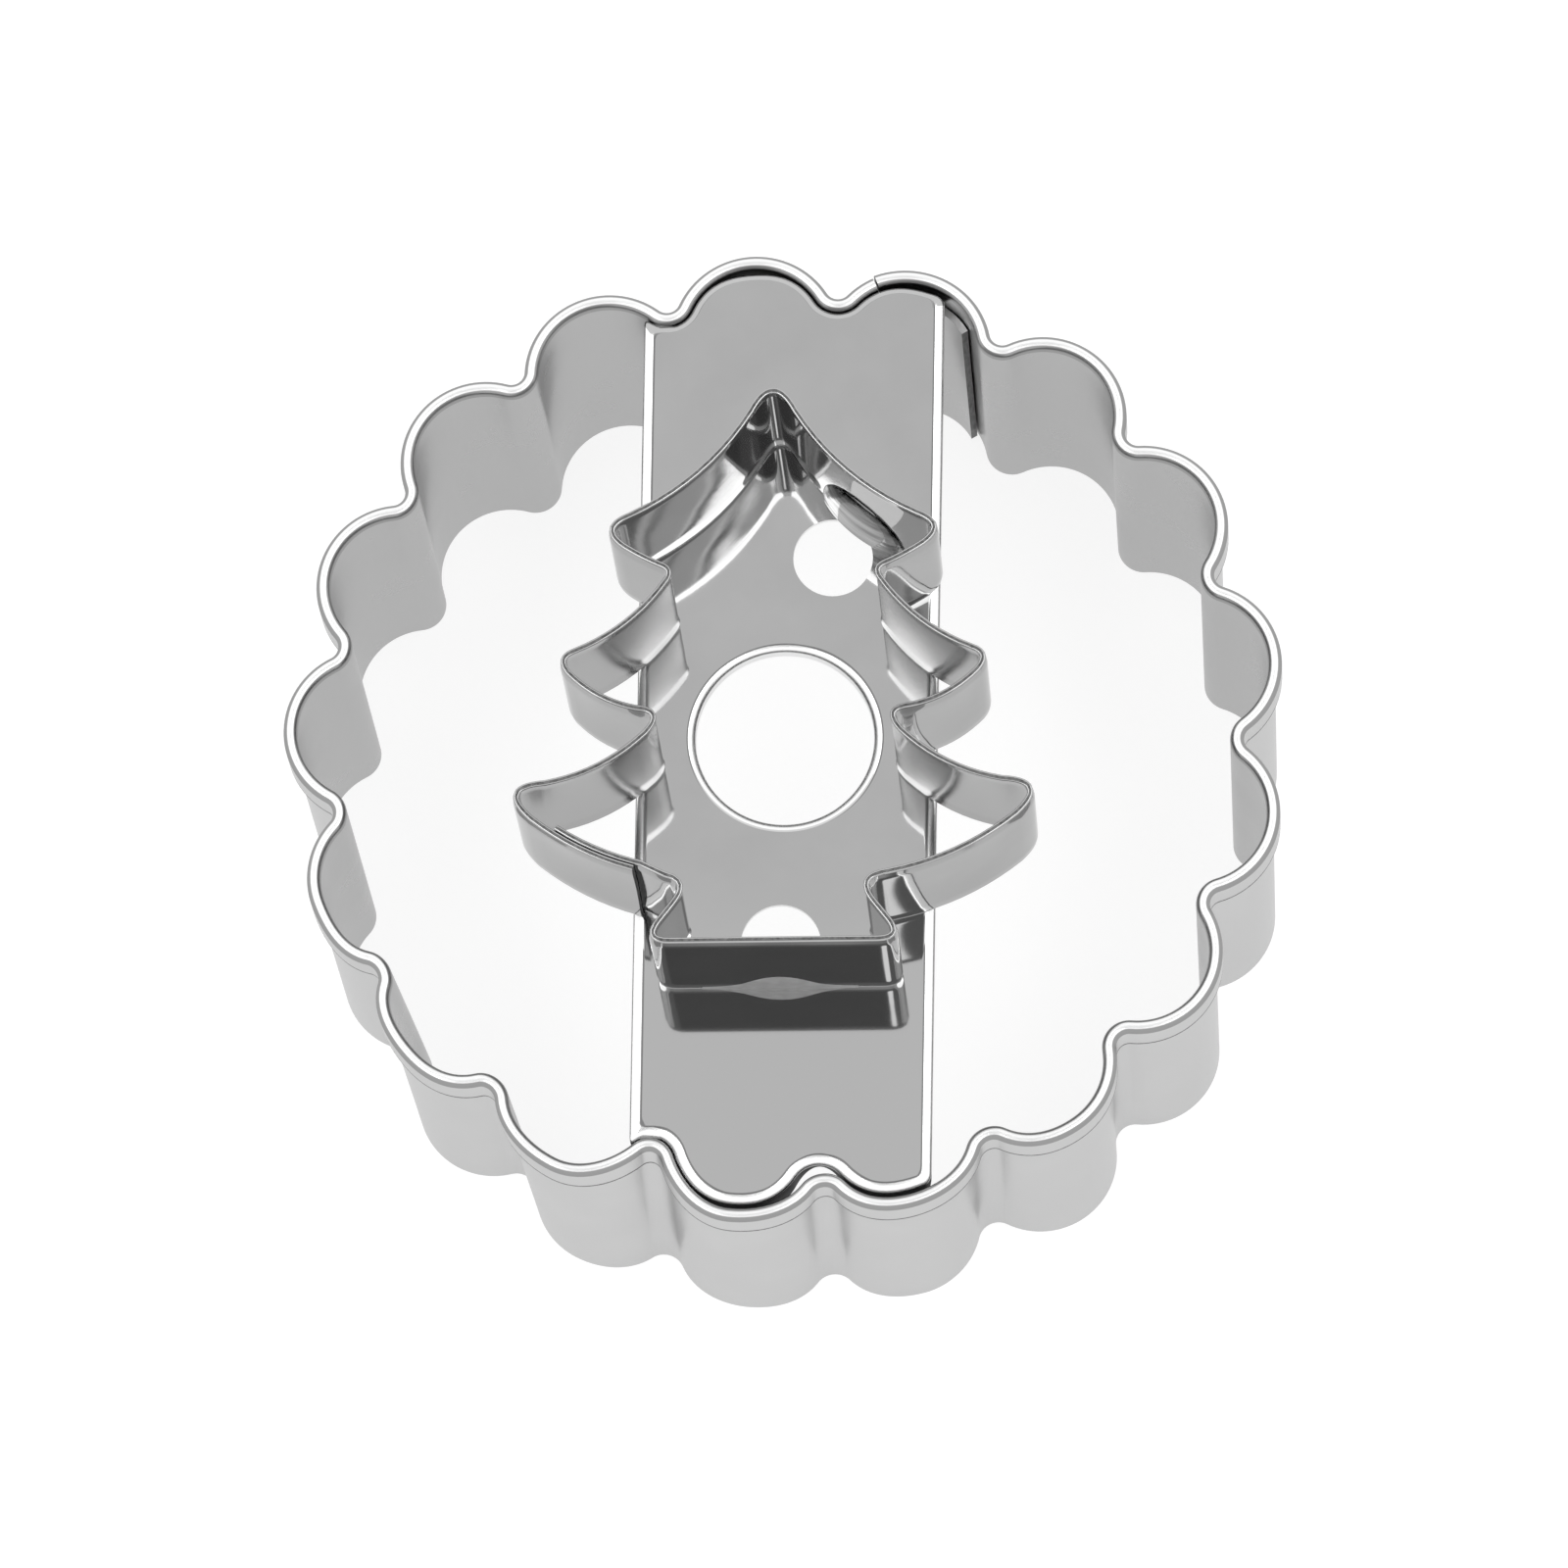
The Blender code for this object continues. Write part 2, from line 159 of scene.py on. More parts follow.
# Facets of the fine surfaces
LOBE_FACETS = 32
CUSP_FACETS = 16
HEM_FOLD_FACETS = 14
PLATE_FOLD_FACETS = 16
FILLET_FACETS = 4
TREE_CORNER_FACETS = 14
TREE_SIDE_FACETS = 10
FINGER_HOLE_FACETS = 144
PIERCED_HOLE_FACETS = 48
BEAD_RINGS = 40
BEAD_FACETS = 10
EDGE_FACETS = 4
CROSS_BOW_FACETS = 4
CURL_FACETS = 5
FLAT_MARGIN = 0.00003
SHARP_ANGLE = 35.0
BISECTIONS = 40

# Camera
CAMERA_AIM = (0.00001, -0.00237, 0.0200)
CAMERA_DISTANCE = 0.6123
CAMERA_AZIMUTH = 9.78
CAMERA_ELEVATION = 74.43
CAMERA_ROLL = -9.06
CAMERA_LENS = 289.07
CAMERA_SENSOR = 36.0
CAMERA_CLIP = (0.01, 20.0)

# Studio: the floor's glow is seen by the camera and in reflections alone
FLOOR_SIZE = 4.0
FLOOR_COLOUR = (0.24, 0.24, 0.24, 1.0)
FLOOR_GLOW = 0.84
WHITE = (1.0, 1.0, 1.0, 1.0)
LAMP_SIDES = {"left_softbox": -1, "right_softbox": 1}
LAMP_DISTANCE = 0.372
LAMP_HEIGHT = 0.95
LAMP_SIZE = (0.80, 0.175)
LAMP_POWER = 1.35

# Sky: the room all round and a ceiling overhead, within these cosines of straight up, whose front
# turns to its back over these parts of a unit direction along Y. The back's band is where it starts
# and ends to either side, its softness and its strength.
ROOM_STRENGTH = 1.15
CEILING_COSINES = (0.900, 0.925)
CEILING_FRONT_TO_BACK = (-0.04, 0.05)
BACK_CEILING_STRENGTH = 0.74
BACK_BAND = (0.095, 0.215, 0.01, 0.36)
FRONT_CEILING_STRENGTH = 0.26

# The front ceiling's bands: how far to either side each starts, and its strength; then the dark
# place of the camera and the bright window beside it: a direction, two cosines and a strength.
CEILING_BANDS = ((0.198, 1.05), (0.213, 0.42), (0.226, 0.84), (0.2720, 1.7), (0.2778, 0.28))
BAND_SOFTNESS = 0.002
CAMERA_DISC = ((-0.050, -0.265, 0.963), (0.9970, 0.9986), 0.17)
WINDOW_DISC = ((0.056, -0.263, 0.963), (0.9985, 0.9992), 2.2)

# Finishes. A painted highlight, a painted shade line, a painted tone band of light and shade, grain
# and waves are as steel() takes them, and the solder's grains as solder_material() does.
GRAZING_TINT = (0.78, 0.78, 0.78, 1.0)
NOISE_RANGE = (0.3, 0.7)
CLOUD_SCALE = 260.0
# The rim's top: a lighter tone that is a painted highlight, at the wall's roughness.
HEM_PAINTED_HIGHLIGHT = (RING_HEIGHT - 0.0001, RING_HEIGHT - 0.00005, 0.88, 0.34)
# Painted shade lines: darker tones in height bands just under the rim's top, on its outer shoulder and on
# its inner side.
SHOULDER_SHADE_LINE = (RING_HEIGHT - 0.00033, RING_HEIGHT - 0.00002, 0.00003, 0.30)
FOLD_SHADE_LINE = (RING_HEIGHT - 0.0006, RING_HEIGHT - 0.00003, 0.00003, 0.34)
RING_GRAIN = (300.0, (1.0, 1.0, 30.0), 0.0000015)
# The bridge below its flat top, on its folds, lips and rolled hole: a lighter tone that is a painted
# highlight, on a rougher finish.
FOLD_PAINTED_HIGHLIGHT = (RING_HEIGHT - 0.00001, RING_HEIGHT - 0.000025, 0.95, 0.26)
# The plate's near part: a slightly lighter tone that is a painted reflection.
BRIDGE_PAINTED_REFLECTION = (-0.030, -0.006, 0.006, 0.61, 0.05)
BRIDGE_GRAIN = (400.0, (8.0, 1.0, 1.0), 0.0000002)
# The tree's inner faces across their middle: a darker tone that is painted shade, on a rougher finish.
TREE_PAINTED_SHADE = (-0.0085, 0.0068, 0.0015, 0.415, 0.17)
TREE_GRAIN = (300.0, (1.0, 1.0, 20.0), 0.0000005)
TREE_WAVES = (350.0, (1.0, 1.0, 0.5), 0.00004)
# The cut edges: dull and scored, with a near-black tone that is painted shade.
CUT_SCORING = (6000.0, (1.0, 1.0, 0.2))
CUT_EDGE_SHADE_TONE = (0.08, 0.20)
CUT_ROUGHNESS = 0.5
CUT_RELIEF = 0.00001
# The end flanges: near black and mottled, as painted shade.
FLANGE_MOTTLE = 900.0
FLANGE_SHADE_TONE = (0.02, 0.07)
FLANGE_ROUGHNESS = (0.40, 0.55)
SMEAR_GRAIN = (2500.0, (1.0, 1.0, 1.0), 0.0)
SMEAR_RELIEF = 0.00001
# The slope bead's streaks, running down to near black: painted shade and reflection.
BEAD_PAINTED_STREAKS = (1600.0, (0.12, 1.0, 1.0), 38.0)
BEAD_RELIEF = 0.00002

# Worked out from the values above
EDGE_CURL_DEPTH = EDGE_CURL_SLOPE * (EDGE_CURL_START + EDGE_CURL_FULL) / 2
LOBE_CENTRE_RADIUS = CREST_RADIUS - LOBE_RADIUS
HALF_PITCH = math.pi / LOBE_COUNT
CUSP_CENTRE_RADIUS = LOBE_CENTRE_RADIUS * math.cos(HALF_PITCH) + math.sqrt(
    (LOBE_RADIUS + CUSP_RADIUS) ** 2 - (LOBE_CENTRE_RADIUS * math.sin(HALF_PITCH)) ** 2
)
HALF_LOBE_TURN = math.atan2(
    CUSP_CENTRE_RADIUS * math.sin(HALF_PITCH),
    CUSP_CENTRE_RADIUS * math.cos(HALF_PITCH) - LOBE_CENTRE_RADIUS,
)
LOBE_LENGTH = 2 * HALF_LOBE_TURN * LOBE_RADIUS
HALF_CUSP_LENGTH = (HALF_LOBE_TURN - HALF_PITCH) * CUSP_RADIUS
PITCH_LENGTH = LOBE_LENGTH + 2 * HALF_CUSP_LENGTH
HEM_FOOT = RING_HEIGHT - HEM_HEIGHT


def shade(mesh):
    """Smooth faces with sharp edges where they meet at a real corner."""
    mesh.shade_smooth()
    mesh.set_sharp_from_angle(angle=math.radians(SHARP_ANGLE))


def thicken(item, thickness):
    """Turn a sheet's upper surface into a solid sheet under it, whose other side has a plain finish."""
    sheet = item.modifiers.new("Sheet", "SOLIDIFY")
    sheet.thickness = thickness
    sheet.offset = -1.0
    sheet.use_even_offset = True
    sheet.material_offset = -FLANGE_SHADE
    dependencies = bpy.context.evaluated_depsgraph_get()
    solid = bpy.data.meshes.new_from_object(item.evaluated_get(dependencies))
    item.modifiers.clear()
    item.data = solid
    shade(solid)


def add_piece(name, mesh_data, materials, replaced):
    """Make the mesh a smooth-shaded object that rides on the body and stands for one CAD node."""
    bmesh.ops.recalc_face_normals(mesh_data, faces=mesh_data.faces)
    mesh = bpy.data.meshes.new(name)
    mesh_data.to_mesh(mesh)
    mesh_data.free()
    for material in materials:
        mesh.materials.append(material)
    shade(mesh)
    item = bpy.data.objects.new(name, mesh)
    bpy.context.scene.collection.objects.link(item)
    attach(item, "root")
    if replaced:
        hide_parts(replaced)
    return item


def add_row(mesh_data, points):
    return [mesh_data.verts.new(point) for point in points]


def skin(mesh_data, row, next_row, finishes=None):
    """Quads between two closed rows of as many points, each with its own finish if they are given."""
    for index in range(len(row)):
        after = (index + 1) % len(row)
        face = mesh_data.faces.new((row[index], row[after], next_row[after], next_row[index]))
        if finishes:
            face.material_index = finishes[index]


def cap(mesh_data, row, finish=0):
    mesh_data.faces.new(row).material_index = finish


def direction(angle):
    return Vector((math.cos(angle), math.sin(angle)))


def regular_scallop(distance, outward):
    """A point on the scalloped line, so far along it clockwise from the first cusp, moved outward."""
    pitch = math.floor(distance / PITCH_LENGTH)
    along = distance - pitch * PITCH_LENGTH
    cusp_angle = math.radians(FIRST_CUSP_ANGLE) - 2 * HALF_PITCH * pitch
    if along > HALF_CUSP_LENGTH + LOBE_LENGTH:
        cusp_angle -= 2 * HALF_PITCH
        along -= PITCH_LENGTH
    if along < HALF_CUSP_LENGTH:
        facing = cusp_angle + along / CUSP_RADIUS
        return CUSP_CENTRE_RADIUS * direction(cusp_angle) - (CUSP_RADIUS - outward) * direction(facing)
    lobe_angle = cusp_angle - HALF_PITCH
    facing = lobe_angle + HALF_LOBE_TURN - (along - HALF_CUSP_LENGTH) / LOBE_RADIUS
    return LOBE_CENTRE_RADIUS * direction(lobe_angle) + (LOBE_RADIUS + outward) * direction(facing)


def scallop(distance, outward, bent=1.0, only_inward=False):
    """The same line shifted back a little, its hand-bent cusps moved with half a pitch either side."""
    place = regular_scallop(distance, outward)
    pitches = distance / PITCH_LENGTH
    for cusp, rim_shift, foot_shift, turn in BENT_CUSPS:
        away = (pitches - cusp + LOBE_COUNT / 2) % LOBE_COUNT - LOBE_COUNT / 2
        if abs(away) < 0.5 and (rim_shift < 0 or not only_inward):
            share = math.cos(math.pi * away) ** 2
            shift = foot_shift + bent * (rim_shift - foot_shift)
            place += place.normalized() * shift * share
            place.rotate(Matrix.Rotation(math.radians(turn * bent * share), 2))
    return place + Vector((0.0, RING_SHIFT))


def scallop_stops(start, end):
    """Distances along the scalloped line between two limits, where its facets meet."""
    stops = []
    for pitch in range(math.floor(start / PITCH_LENGTH) - 1, math.ceil(end / PITCH_LENGTH) + 1):
        lobe_start = pitch * PITCH_LENGTH + HALF_CUSP_LENGTH
        stops += [lobe_start + LOBE_LENGTH * step / LOBE_FACETS for step in range(LOBE_FACETS)]
        cusp_start = lobe_start + LOBE_LENGTH
        stops += [cusp_start + 2 * HALF_CUSP_LENGTH * step / CUSP_FACETS for step in range(CUSP_FACETS)]
    half_facet = HALF_CUSP_LENGTH / CUSP_FACETS
    return [stop for stop in stops if start + half_facet < stop < end - half_facet]


def ring_section():
    """The wall and its hem: places outward and up, and the finish of the face that follows each."""
    section = [(-RING_SHEET, 0.0, INNER_FACE), (-RING_SHEET, HEM_FOOT, INNER_FACE)]
    for step in range(HEM_FOLD_FACETS + 1):
        turn = math.pi * (1 - step / HEM_FOLD_FACETS)
        height = RING_HEIGHT - RING_SHEET * (1 - math.sin(turn))
        finish = INNER_FACE if 2 * step < HEM_FOLD_FACETS else OUTER_FACE
        section.append((RING_SHEET * math.cos(turn), height, finish))
    section += [
        # The hem's outer face above its foot takes the dark cut-edge finish as a painted shade line.
        (RING_SHEET, HEM_FOOT + HEM_PAINTED_SHADE_LINE, CUT_EDGE),
        (RING_SHEET, HEM_FOOT + HEM_EDGE_ROUNDING, CUT_EDGE),
        (RING_SHEET - HEM_EDGE_ROUNDING, HEM_FOOT, CUT_EDGE),
        (0.0, HEM_FOOT, OUTER_FACE),
        (0.0, 0.0, CUT_EDGE),
    ]
    return section


def section_at(distance, section, inward=0.0):
    points = []
    for outward, height, _ in section:
        place = scallop(distance, outward - inward, bent=height / RING_HEIGHT)
        points.append((place.x, place.y, height))
    return points


def make_ring(materials):
    """The hemmed strip once round, and past its hem's end a plain tongue inside the first layer."""
    section = ring_section()
    finishes = [finish for _, _, finish in section]
    start = math.radians(FIRST_CUSP_ANGLE - RING_SEAM_ANGLE) / (2 * HALF_PITCH) * PITCH_LENGTH
    round_trip = LOBE_COUNT * PITCH_LENGTH
    hem_end = start + round_trip - RING_SEAM_NOTCH
    mesh_data = bmesh.new()
    row = add_row(mesh_data, section_at(start, section, inward=-SEAM_LIFT))
    cap(mesh_data, row, CUT_EDGE)
    for distance in scallop_stops(start, hem_end) + [hem_end]:
        settled = min((distance - start) / SEAM_LIFT_LENGTH, 1.0)
        next_row = add_row(mesh_data, section_at(distance, section, inward=-SEAM_LIFT * (1 - settled) ** 2))
        skin(mesh_data, row, next_row, finishes=finishes)
        row = next_row
    cap(mesh_data, row[1:-1], CUT_EDGE)

    wall_corners = (0, 1, len(section) - 2, len(section) - 1)
    wall = [section[corner] for corner in wall_corners]
    finishes = [INNER_FACE, INNER_FACE, OUTER_FACE, CUT_EDGE]
    row = [row[corner] for corner in wall_corners]
    tongue_start = start + round_trip
    tongue_end = tongue_start + RING_SEAM_OVERLAP
    for distance in [tongue_start] + scallop_stops(tongue_start, tongue_end) + [tongue_end]:
        spring = TONGUE_SPRING * ((distance - tongue_start) / RING_SEAM_OVERLAP) ** 3
        next_row = add_row(mesh_data, section_at(distance, wall, inward=RING_SHEET + SEAM_GAP + spring))
        skin(mesh_data, row, next_row, finishes=finishes)
        row = next_row
    cap(mesh_data, row, CUT_EDGE)
    return add_piece("scalloped_ring", mesh_data, materials, "outer_ring")


def scallop_at_width(across, outward, end_middle, side):
    """The distance along the scalloped line at which it is so far across, on one side of its middle."""
    near, far = 0.0, LOBE_COUNT * PITCH_LENGTH / 4
    for _ in range(BISECTIONS):
        middle = (near + far) / 2
        if abs(regular_scallop(end_middle + side * middle, outward).x - BRIDGE_SHIFT) < across:
            near = middle
        else:
            far = middle
    return end_middle + side * near


def soft_corner(start, corner, end, facets):
    """Points on a curve that leaves one side and joins the next, without its first point."""
    points = []
    for step in range(1, facets + 1):
        part = step / facets
        points.append((1 - part) ** 2 * start + 2 * part * (1 - part) * corner + part ** 2 * end)
    return points


def bridge_line(distance, outward):
    """The ring's inner line as the bridge follows it, close on the flanks and short of the crests."""
    crest = 0.5 - 0.5 * math.cos(2 * math.pi * distance / PITCH_LENGTH)
    at_crest = FAR_CREST_CLEARANCE if regular_scallop(distance, 0.0).y > 0 else NEAR_CREST_CLEARANCE
    clearance = FLANK_CLEARANCE + (at_crest - FLANK_CLEARANCE) * crest ** 3
    return scallop(distance, outward - RING_SHEET - clearance, only_inward=True)


def end_limits(end_angle, outward, half_width):
    """Where the bridge's end starts and stops along the scalloped line, clockwise."""
    end_middle = (math.radians(FIRST_CUSP_ANGLE) - end_angle) / (2 * HALF_PITCH) * PITCH_LENGTH
    first = scallop_at_width(half_width, outward, end_middle, -1)
    last = scallop_at_width(half_width, outward, end_middle, 1)
    return first, last


def bridge_end(end_angle, end_inset, side_inset, stops):
    """One end of the bridge's outline, clockwise, and how far each point belongs to the end."""
    first, last = end_limits(end_angle, -RING_SHEET - end_inset, BRIDGE_WIDTH / 2 - side_inset)
    toward_middle = Vector((0.0, -math.sin(end_angle))) * BRIDGE_CORNER_SOFTNESS
    first_corner = bridge_line(first, -end_inset)
    last_corner = bridge_line(last, -end_inset)
    entry = bridge_line(first + BRIDGE_CORNER_SOFTNESS, -end_inset)
    leave = bridge_line(last - BRIDGE_CORNER_SOFTNESS, -end_inset)
    points = [first_corner + toward_middle]
    points += soft_corner(first_corner + toward_middle, first_corner, entry, FILLET_FACETS)
    points += [bridge_line(stop, -end_inset) for stop in stops]
    points += [leave]
    points += soft_corner(leave, last_corner, last_corner + toward_middle, FILLET_FACETS)
    rising = [step / FILLET_FACETS for step in range(FILLET_FACETS + 1)]
    return points, rising + [1.0] * len(stops) + rising[::-1]


def bridge_row(end_inset, end_drop, side_inset, side_drop):
    """The bridge's outline at one stage of its fold, ends and sides each at their own inset and drop."""
    row = []
    for end_angle, stretch in ((math.pi / 2, 1.0), (-math.pi / 2, NEAR_FOLD_STRETCH)):
        first, last = end_limits(
            end_angle, -RING_SHEET - stretch * END_FOLD_WIDTH, BRIDGE_WIDTH / 2 - SIDE_FOLD_WIDTH
        )
        stops = scallop_stops(first + BRIDGE_CORNER_SOFTNESS, last - BRIDGE_CORNER_SOFTNESS)
        points, weights = bridge_end(end_angle, stretch * end_inset, side_inset, stops)
        for place, weight in zip(points, weights):
            drop = weight * end_drop + (1 - weight) * side_drop
            row.append((place.x, place.y, RING_HEIGHT - drop))
    return row


def flange_foot():
    """The lower edge of the bridge's flanges and side lips, notched where the near cusp is bent out."""
    row = []
    for across, along, height in bridge_row(0.0, END_FLANGE_DEPTH, 0.0, SIDE_LIP_DEPTH):
        away = (across - FLANGE_NOTCH_MIDDLE) / FLANGE_NOTCH_WIDTH
        if along < 0 and abs(away) < 0.5:
            height += FLANGE_NOTCH_RISE * math.cos(math.pi * away) ** 2
        row.append((across, along, height))
    return row


def end_finishes(row, far_finish, near_finish):
    """The finish of each face after a point of the bridge's outline: plain on its two long sides."""
    finishes = []
    for index, (_, along, _) in enumerate(row):
        _, next_along, _ = row[(index + 1) % len(row)]
        if along * next_along < 0:
            finishes.append(PLAIN)
        else:
            finishes.append(far_finish if along > 0 else near_finish)
    return finishes


def fold_stages():
    """From the upright edge to the flat, the shares of its width and of its drop that a fold still has."""
    turns = [math.pi / 2 * step / PLATE_FOLD_FACETS for step in range(PLATE_FOLD_FACETS + 1)]
    return [(1 - math.cos(turn), 1 - math.sin(turn)) for turn in turns]


def circle_row(centre, radius, height, facets):
    points = []
    for step in range(facets):
        place = Vector(centre) + radius * direction(2 * math.pi * step / facets)
        points.append((place.x, place.y, height))
    return points


def loop_edges(mesh_data, row):
    edges = []
    for index, corner in enumerate(row):
        after = row[(index + 1) % len(row)]
        edges.append(mesh_data.edges.get((corner, after)) or mesh_data.edges.new((corner, after)))
    return edges


def make_bridge(materials):
    """A drawn plate: flanges down inside the ring's wall, rolled sides and a rolled finger hole."""
    mesh_data = bmesh.new()
    foot = flange_foot()
    row = add_row(mesh_data, foot)
    finishes = end_finishes(foot, FLANGE_SHADE, FLANGE_SHADE)
    for inset, drop in fold_stages():
        stage = bridge_row(
            inset * END_FOLD_WIDTH, drop * END_FOLD_DROP, inset * SIDE_FOLD_WIDTH, drop * SIDE_FOLD_DROP
        )
        next_row = add_row(mesh_data, stage)
        skin(mesh_data, row, next_row, finishes=finishes)
        finishes = end_finishes(stage, FAR_FOLD, PLAIN)
        row = next_row
    flat_row = bridge_row(END_FOLD_WIDTH + FLAT_MARGIN, 0.0, SIDE_FOLD_WIDTH + FLAT_MARGIN, 0.0)
    next_row = add_row(mesh_data, flat_row)
    skin(mesh_data, row, next_row)
    rims = loop_edges(mesh_data, next_row)

    lip_foot = RING_HEIGHT - FINGER_HOLE_LIP_DEPTH
    row = add_row(mesh_data, circle_row((0.0, 0.0), FINGER_HOLE_RADIUS, lip_foot, FINGER_HOLE_FACETS))
    for inset, drop in fold_stages():
        radius = FINGER_HOLE_RADIUS + inset * FINGER_HOLE_FOLD_WIDTH
        height = RING_HEIGHT - drop * FINGER_HOLE_FOLD_DROP
        next_row = add_row(mesh_data, circle_row((0.0, 0.0), radius, height, FINGER_HOLE_FACETS))
        skin(mesh_data, row, next_row)
        row = next_row
    margin_radius = FINGER_HOLE_RADIUS + FINGER_HOLE_FOLD_WIDTH + FLAT_MARGIN
    flat_row = circle_row((0.0, 0.0), margin_radius, RING_HEIGHT, FINGER_HOLE_FACETS)
    next_row = add_row(mesh_data, flat_row)
    skin(mesh_data, row, next_row)
    rims += loop_edges(mesh_data, next_row)

    for centre in PIERCED_HOLE_CENTRES:
        pierced = circle_row(centre, PIERCED_HOLE_RADIUS, RING_HEIGHT, PIERCED_HOLE_FACETS)
        rims += loop_edges(mesh_data, add_row(mesh_data, pierced))
    bmesh.ops.triangle_fill(mesh_data, use_beauty=True, edges=rims, normal=(0.0, 0.0, 1.0))

    bridge = add_piece("drawn_bridge", mesh_data, materials, "bridge_plate")
    flat = bridge.data.polygons[-1]
    if flat.normal.z < 0:
        bridge.data.flip_normals()
    thicken(bridge, BRIDGE_SHEET)
    return bridge


def bowed_side(start, end, bow, part):
    """A point on the side between two corners, part of the way along it."""
    run = end - start
    left = Vector((-run.y, run.x)).normalized()
    return start + run * part + left * (4 * bow * part * (1 - part))


def tree_loop():
    """The whole tree's centre line, clockwise from the apex, and how far its strip is bowed across."""
    right = list(TREE_CORNERS)
    left = [(-across, along, soft, 0.0) for across, along, soft, _ in reversed(right[1:])]
    corners = [(Vector(corner[:2]), corner[2]) for corner in right + left]
    bows = [corner[3] for corner in right] + [corner[3] for corner in reversed(right[:-1])]
    points = []
    for index, (corner, soft) in enumerate(corners):
        before, _ = corners[index - 1]
        after, soft_after = corners[(index + 1) % len(corners)]
        length_before = (corner - before).length
        length_after = (after - corner).length
        entry = bowed_side(before, corner, bows[index - 1], 1 - soft / length_before)
        leave = bowed_side(corner, after, bows[index], soft / length_after)
        points.append((entry, 0.0))
        points += [(point, 0.0) for point in soft_corner(entry, corner, leave, TREE_CORNER_FACETS)]
        first = soft / length_after
        last = 1 - soft_after / length_after
        for step in range(1, TREE_SIDE_FACETS):
            along = step / TREE_SIDE_FACETS
            point = bowed_side(corner, after, bows[index], first + (last - first) * along)
            share = TREE_CROSS_BOW if 0 < index < len(corners) - 1 else TOP_SLOPE_CROSS_BOW
            if index == len(corners) - 1:
                share *= TOP_LEFT_BOW_GAIN * (1 - along ** 2)
            cross_bow = -share * bows[index] * (1 - (2 * along - 1) ** 4)
            points.append((point, cross_bow))
    return points


def loop_lengths(loop):
    """The length from each point of the closed loop to the next."""
    return [(loop[(index + 1) % len(loop)][0] - loop[index][0]).length for index in range(len(loop))]


def strip_along(loop, start, end):
    """Stations along the closed loop, from start to past one round, stepping inward for the last layer."""
    count = len(loop)
    lengths = loop_lengths(loop)
    round_trip = sum(lengths)
    step_in = TREE_SHEET + TREE_SEAM_GAP
    step_done = start + round_trip - TREE_SEAM_LEAD
    marks = [start, step_done - TREE_SEAM_EASE, step_done, end]
    travelled = 0.0
    for index in range(2 * count):
        clear_of_marks = all(abs(travelled - mark) > TREE_SHEET / 2 for mark in marks)
        if clear_of_marks and start < travelled < end:
            marks.append(travelled)
        travelled += lengths[index % count]
    stations = []
    for mark in sorted(marks):
        left_over = mark % round_trip
        index = 0
        while left_over > lengths[index]:
            left_over -= lengths[index]
            index += 1
        point, cross_bow = loop[index]
        next_point, next_cross_bow = loop[(index + 1) % count]
        run = (next_point - point).normalized()
        stepped = min(max((mark - step_done) / TREE_SEAM_EASE + 1, 0.0), 1.0)
        place = point + run * left_over + Vector((run.y, -run.x)) * step_in * stepped
        cross_bow += (next_cross_bow - cross_bow) * left_over / lengths[index]
        stations.append((place, cross_bow))
    return stations


def strip_edge(side, height, up):
    """The strip's section from one face over its sheared edge to the other, its corners rounded."""
    flat = TREE_SHEET / 2 - TREE_EDGE_ROUNDING
    faces = (INNER_FACE, OUTER_FACE) if side < 0 else (OUTER_FACE, INNER_FACE)
    turns = [math.pi / 2 * step / EDGE_FACETS for step in range(EDGE_FACETS + 1)]
    section = []
    for turn in turns:
        outward = side * (flat + TREE_EDGE_ROUNDING * math.cos(turn))
        section.append((outward, height + up * TREE_EDGE_ROUNDING * math.sin(turn), faces[0]))
    section[-1] = (*section[-1][:2], CUT_EDGE)
    for turn in reversed(turns):
        outward = -side * (flat + TREE_EDGE_ROUNDING * math.cos(turn))
        section.append((outward, height + up * TREE_EDGE_ROUNDING * math.sin(turn), faces[1]))
    return section


def strip_section():
    """The strip's whole section: places outward and up, and the finish of the face that follows each."""
    low = TREE_EDGE_ROUNDING
    high = TREE_HEIGHT - TREE_EDGE_ROUNDING
    curl_top = low + EDGE_CURL_START
    middle = TREE_HEIGHT / 2
    half = [low + FLAT_MARGIN]
    half += [low + EDGE_CURL_START * step / CURL_FACETS for step in range(1, CURL_FACETS)]
    half += [curl_top + (middle - curl_top) * step / CROSS_BOW_FACETS for step in range(CROSS_BOW_FACETS)]
    heights = half + [middle] + [TREE_HEIGHT - height for height in reversed(half)]
    section = strip_edge(-1, high, 1)
    section += [(TREE_SHEET / 2, height, OUTER_FACE) for height in reversed(heights)]
    section += strip_edge(1, low, -1)
    section += [(-TREE_SHEET / 2, height, INNER_FACE) for height in heights]
    return section


def stand_off(cross_bow, height):
    """How far the strip stands outside the line of its edges: bowed across, and curled at both edges."""
    bowed = cross_bow * (1 - (2 * height / TREE_HEIGHT - 1) ** 2)
    from_edge = min(height, TREE_HEIGHT - height, EDGE_CURL_START)
    bend = EDGE_CURL_START - EDGE_CURL_FULL
    if from_edge > EDGE_CURL_FULL:
        return bowed + EDGE_CURL_DEPTH - EDGE_CURL_SLOPE * (EDGE_CURL_START - from_edge) ** 2 / (2 * bend)
    return bowed + EDGE_CURL_SLOPE * from_edge


def strip_row(stations, index, section):
    """The section's points at one station, across the strip's run there."""
    place, cross_bow = stations[index]
    before = stations[max(index - 1, 0)][0]
    after = stations[min(index + 1, len(stations) - 1)][0]
    run = (place - before).normalized() + (after - place).normalized()
    outward_side = Vector((-run.y, run.x)).normalized()
    points = []
    for outward, height, _ in section:
        point = place + outward_side * (outward + stand_off(cross_bow, height))
        points.append((point.x, point.y, height))
    return points


def tree_placement():
    shift = Matrix.Translation((*TREE_SHIFT, RING_HEIGHT))
    return shift @ Matrix.Rotation(math.radians(TREE_TURN), 4, "Z")


